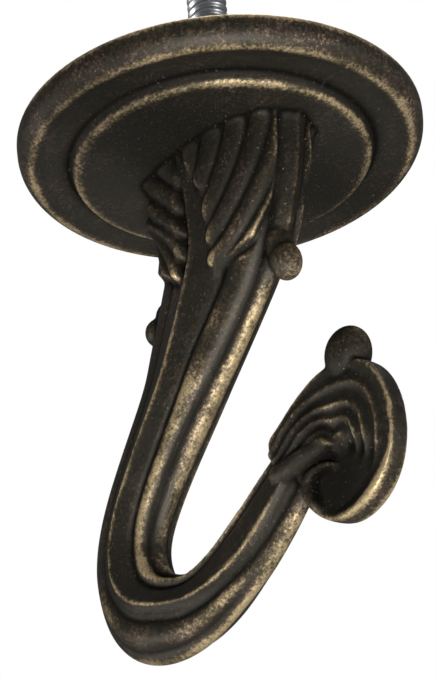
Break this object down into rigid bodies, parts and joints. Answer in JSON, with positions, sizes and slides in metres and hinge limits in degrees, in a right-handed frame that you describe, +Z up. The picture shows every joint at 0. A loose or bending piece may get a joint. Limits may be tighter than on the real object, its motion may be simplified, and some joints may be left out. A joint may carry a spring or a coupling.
{
  "type": "ceiling swag hook",
  "caption": "Cast ceiling hook with a round stepped plate, ribbed arm, leaf neck and scroll tip, on a threaded rod with a spring toggle.",
  "frame": {"origin": "centre of the ceiling plate's flat back, where it meets the ceiling", "axes": "+Z up into the ceiling along the threaded rod, +X towards the open side of the hook, the hook lies in the XZ plane"},
  "size_m": [0.0514, 0.048, 0.1036],
  "materials": {
    "antique_bronze": "dark antique bronze patina, rubbed to brown gold on its edges, satin",
    "zinc_plate": "bright zinc plate",
    "spring_steel": "drawn wire"
  },
  "bodies": {
    "hook": {"hook_casting": "antique_bronze"},
    "rod": {"threaded_rod": "zinc_plate"},
    "nut": {"toggle_nut": "zinc_plate", "toggle_spring": "spring_steel"},
    "wing_near": {"toggle_wing_near": "zinc_plate"},
    "wing_far": {"toggle_wing_far": "zinc_plate"}
  },
  "joints": [
    {"name": "rod_turn", "type": "hinge", "parent": "hook", "child": "rod", "pos_m": [0, 0, 0], "axis": [0, 0, 1], "continuous": true},
    {"name": "nut_travel", "type": "slide", "parent": "rod", "child": "nut", "axis": [0, 0, 1], "range_m": [-0.012, 0.004]},
    {"name": "wing_near_fold", "type": "hinge", "parent": "nut", "child": "wing_near", "pos_m": [0, 0, 0.034], "axis": [-0.7071, 0.7071, 0], "range_deg": [0, 78], "stiffness_Nm_per_rad": 0.008, "springref_deg": -45.84, "deforming": ["toggle_spring"]},
    {"name": "wing_far_fold", "type": "hinge", "parent": "nut", "child": "wing_far", "pos_m": [0, 0, 0.034], "axis": [0.7071, -0.7071, 0], "range_deg": [0, 78], "stiffness_Nm_per_rad": 0.008, "springref_deg": -45.84, "deforming": ["toggle_spring"]}
  ]
}
